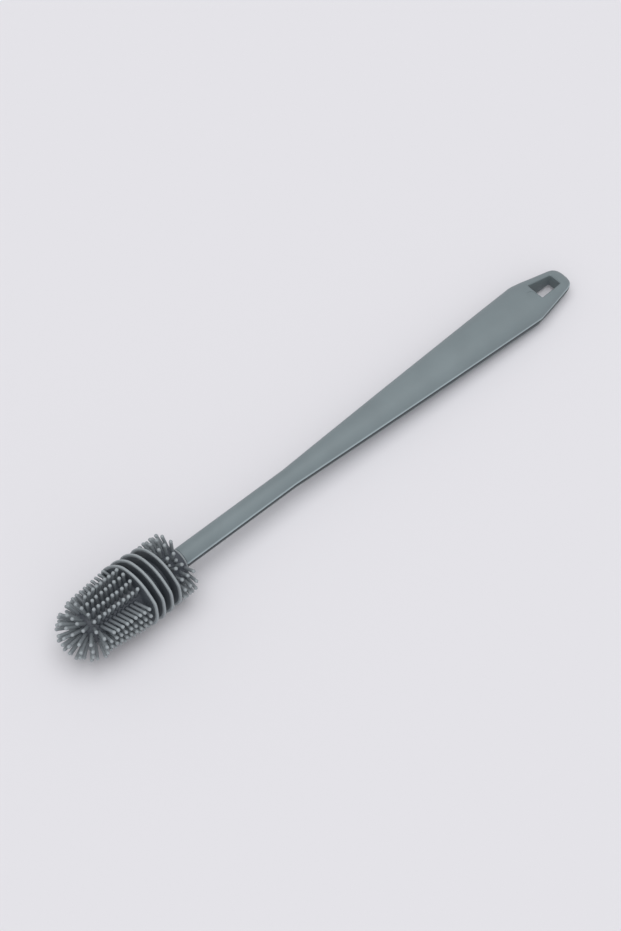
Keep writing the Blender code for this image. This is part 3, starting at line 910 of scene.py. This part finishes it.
def core_hole_rings(angles):
    """Sections of the blind hole that holds the stiff core, a gap clear of it."""
    first = FLARE_START + CORE_FLARE_LEAD
    last = CORE_END - CORE_ROUND
    places = [NECK_START, FLARE_START]
    places += [first + (last - first) * i / CORE_STEPS for i in range(CORE_STEPS + 1)]
    sizes = []
    for along in places:
        thick = max(STEM_RADIUS, half_thickness(along) - SKIN_THICKNESS) + CORE_GAP
        wide = max(STEM_RADIUS, half_width(along) - SKIN_THICKNESS) + CORE_GAP
        sizes.append((thick, wide, along))
    for share in CORE_ROUND_SHARES:
        inset = CORE_ROUND * (1 - math.sqrt(1 - (1 - share) ** 2))
        sizes.append((thick - inset, wide - inset, CORE_END + CORE_GAP - CORE_ROUND * share))
    return [[(high * math.cos(a), across * math.sin(a), along, 0.0) for a in angles]
            for high, across, along in sizes]


def handle_shape():
    """The soft skin as one closed sleeve: outside from its end to the neck, then its bore."""
    outside = [handle_ring(along) for along in reversed(handle_stations())]
    angles = [math.atan2(y, x) for x, y, _, _ in outside[-1]]
    edge = []
    for turn in right_angle(NECK_EDGE_STEPS)[1:]:
        shrink = 1 - NECK_EDGE / NECK_RADIUS * (1 - math.cos(turn))
        along = NECK_START + NECK_EDGE * (1 - math.sin(turn))
        edge.append([(x * shrink, y * shrink, along, painted_light) for x, y, _, painted_light in outside[-1]])
    bm = bmesh.new()
    layer = bm.verts.layers.float.new("painted_light")
    rings = [[painted_light_vert(bm, layer, point[:3], point[3]) for point in ring]
             for ring in outside + edge + core_hole_rings(angles)]
    skin_over(bm, rings)
    bm.faces.new(rings[0])
    bm.faces.new(rings[-1])
    return bm


def top_height(along, y):
    """Height of the handle's upper skin over its axis.

    The section that the slant has moved here is found in a few rounds.
    """
    base = along
    for _ in range(SHOULDER_SLANT_ROUNDS):
        base = along - shoulder_shift(base, PARTING_HEIGHT + SHOULDER_SLANT_DEPTH)
    power = squareness(base)
    share = min(abs(y) / max(half_width(base), NEARLY_ZERO), NEARLY_ONE)
    return half_thickness(base) * (1 - share ** power) ** (1 / power)


def hole_outline(grow):
    """Outline of the hang hole with rounded corners, grown outwards, as points (along, y)."""
    corners = [(HOLE_START, -HOLE_START_WIDTH / 2), (HOLE_END, -HOLE_END_WIDTH / 2),
               (HOLE_END, HOLE_END_WIDTH / 2), (HOLE_START, HOLE_START_WIDTH / 2)]
    points = []
    for i, corner in enumerate(corners):
        here = Vector(corner)
        before = (Vector(corners[i - 1]) - here).normalized()
        after = (Vector(corners[(i + 1) % len(corners)]) - here).normalized()
        half = before.angle(after) / 2
        centre = here + (before + after).normalized() * HOLE_CORNER / math.sin(half)
        first = here + before * HOLE_CORNER / math.tan(half) - centre
        last = here + after * HOLE_CORNER / math.tan(half) - centre
        sweep = math.copysign(first.angle(last), first.cross(last))
        for k in range(HOLE_CORNER_STEPS + 1):
            turned = Matrix.Rotation(sweep * k / HOLE_CORNER_STEPS, 2) @ first
            points.append(centre + turned * (1 + grow / HOLE_CORNER))
    return points


def hole_shape():
    """Plug of the hang hole, flared at both faces so that its cut leaves a rounded rim.

    It is narrowest in the middle, where the two halves of the mould met.
    """
    levels = [(HOLE_PLUG_RISE, HOLE_RIM_ROUND * HOLE_PLUG_FLARE)]
    for turn in right_angle(HOLE_RIM_STEPS):
        down = math.sin(turn)
        levels.append((-HOLE_RIM_ROUND * down, HOLE_RIM_ROUND * (1 - down) + HOLE_RIM_GAP))
    bm = bmesh.new()
    rings = []
    for side in (1, -1):
        for lift, grow in (levels if side > 0 else reversed(levels)):
            rings.append([bm.verts.new((side * (top_height(along, y) + lift), y, along))
                          for along, y in hole_outline(grow)])
        if side > 0:
            rings.append([bm.verts.new((0.0, y, along)) for along, y in hole_outline(-HOLE_DRAFT)])
    skin_over(bm, rings)
    bm.faces.new(rings[0])
    bm.faces.new(rings[-1])
    return bm


def gate_mark_shape():
    """Shallow disc where the silicone entered the mould, sunk into the flat before the hole."""
    along, y = GATE_MARK_PLACE
    rise = top_height(along + GATE_MARK_RADIUS, y) - top_height(along - GATE_MARK_RADIUS, y)
    turn = Matrix.Rotation(math.pi / 2 + math.atan(rise / GATE_MARK_RADIUS / 2), 4, "Y")
    place = Vector((top_height(along, y) + GATE_DISC_THICKNESS / 2 - GATE_MARK_DEPTH, y, along))
    bm = bmesh.new()
    bmesh.ops.create_cone(
        bm, cap_ends=True, segments=GATE_MARK_SIDES, radius1=GATE_MARK_RADIUS, radius2=GATE_MARK_RADIUS,
        depth=GATE_DISC_THICKNESS, matrix=Matrix.Translation(place) @ turn)
    return bm


def table_cutter():
    """Block whose top is the table, which presses the skin flat under the shoulder."""
    half = TABLE_CUTTER_SIZE / 2
    bm = bmesh.new()
    bmesh.ops.create_cube(bm, size=TABLE_CUTTER_SIZE)
    bmesh.ops.translate(bm, verts=bm.verts, vec=(half, 0.0, REST_HEIGHT * MM - half))
    return add_object("table_cutter", mesh_from("table_cutter", bm))


def build_handle():
    """The handle's skin with its hang hole, gate mark and rest cut, in one plain mesh."""
    handle = set_on_axis("handle_shell", handle_shape(), HANDLE_SILICONE)
    cutters = [set_on_axis("hole_cutter", hole_shape(), HANDLE_SILICONE),
               set_on_axis("gate_mark_cutter", gate_mark_shape(), HANDLE_SILICONE), table_cutter()]
    for cutter in cutters:
        modifier = handle.modifiers.new(cutter.name, "BOOLEAN")
        modifier.operation = "DIFFERENCE"
        modifier.solver = "EXACT"
        modifier.object = cutter
    graph = bpy.context.evaluated_depsgraph_get()
    mesh = bpy.data.meshes.new_from_object(handle.evaluated_get(graph))
    handle.modifiers.clear()
    handle.data = mesh
    mesh.name = "handle_shell"
    for cutter in cutters:
        bpy.data.objects.remove(cutter)
    # Points further in than the flanks, up to a little past the hole, get the plain skin's level
    # between painted shade and painted highlight, also where the cuts added them
    back = AXIS_MM.inverted()
    painted_light = mesh.attributes["painted_light"].data
    for vert in mesh.vertices:
        place = back @ vert.co
        inside = abs(place.y) < half_width(place.z) - HANDLE_FLANK
        if inside and place.z < HOLE_END + HANDLE_PLAIN_REACH:
            painted_light[vert.index].value = HANDLE_PLAIN_LIGHT
    mesh.set_sharp_from_angle(angle=SHARP_ANGLE)
    return handle


# Stage


def build_floor():
    material, _, shader = blank_material("pale_table")
    shader.inputs["Base Color"].default_value = colour(TABLE_COLOUR)
    shader.inputs["Roughness"].default_value = TABLE_ROUGHNESS
    shader.inputs["Specular IOR Level"].default_value = 0.0
    mesh = bpy.data.meshes.new("table")
    corners = [(x * TABLE_HALF, y * TABLE_HALF, 0.0) for x, y in ((-1, -1), (1, -1), (1, 1), (-1, 1))]
    mesh.from_pydata(corners, [], [(0, 1, 2, 3)])
    mesh.materials.append(material)
    add_object("table", mesh)


def build_light():
    """Lamps and sky whose light on the table adds up to 1, so a colour renders as written."""
    world = bpy.data.worlds.new("studio")
    bpy.context.scene.world = world
    world.use_nodes = True
    tree = world.node_tree
    tree.nodes.clear()
    sky = 1.0 - sum(share for _, _, share, _ in LAMPS)
    seen = add_node(tree, "ShaderNodeBackground", links={
        "Color": colour(TABLE_COLOUR), "Strength": 1.0})
    fill = add_node(tree, "ShaderNodeBackground", links={
        "Color": (1.0, 1.0, 1.0, 1.0), "Strength": sky})
    path = add_node(tree, "ShaderNodeLightPath").outputs
    mirrored = add_node(tree, "ShaderNodeMath", {"operation": "MAXIMUM"}, {
        0: path["Is Glossy Ray"], 1: path["Is Transmission Ray"]})
    direct = add_node(tree, "ShaderNodeMath", {"operation": "MAXIMUM"}, {
        0: path["Is Camera Ray"], 1: mirrored.outputs["Value"]})
    mixed = add_node(tree, "ShaderNodeMixShader", links={
        0: direct.outputs["Value"], 1: fill.outputs["Background"], 2: seen.outputs["Background"]})
    add_node(tree, "ShaderNodeOutputWorld", links={"Surface": mixed.outputs["Shader"]})
    for name, place, share, width in LAMPS:
        toward = Vector(place).normalized()
        lamp = bpy.data.lights.new(name, "SUN")
        lamp.angle = math.radians(width)
        lamp.energy = share * math.pi / toward.z
        thing = add_object(name, lamp)
        thing.rotation_euler = toward.to_track_quat("Z", "Y").to_euler()


def build_camera():
    data = bpy.data.cameras.new("camera")
    data.lens = CAMERA_LENS
    data.sensor_width = CAMERA_SENSOR
    camera = add_object("camera", data)
    camera.matrix_world = AXIS @ Matrix.LocRotScale(CAMERA_PLACE * MM, CAMERA_TURN, None)
    bpy.context.scene.camera = camera


def main():
    dress(build_head_body(), "head", "silicone", "head_collar")
    dress(build_fins(), "head", "silicone",
          "scraper_fin_1", "scraper_fin_2", "scraper_fin_3", "scraper_fin_4")
    for name, points, node in (("tip_pins", dome_points(), "tip_bristles"),
                               ("front_pins", barrel_points(), "front_bristles"),
                               ("rear_pins", rear_points(), "rear_bristles")):
        pins = repeat(name, pin_mesh(PIN_SHAFT_LIGHT[name]), points, PIN_WOBBLE, PIN_SEEDS[name])
        dress(pins, "head", "silicone", node)
    dress(build_handle(), "handle", "silicone", "handle_skin")
    for node, material, slot in (("handle_core", CORE_PLASTIC, "core_plastic"),
                                 ("head_former", FORMER_PLASTIC, "former_plastic")):
        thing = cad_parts[node]
        thing.data.materials.clear()
        thing.data.materials.append(material)
    build_floor()
    build_light()
    build_camera()
    bpy.context.scene.view_settings.view_transform = "Standard"


main()
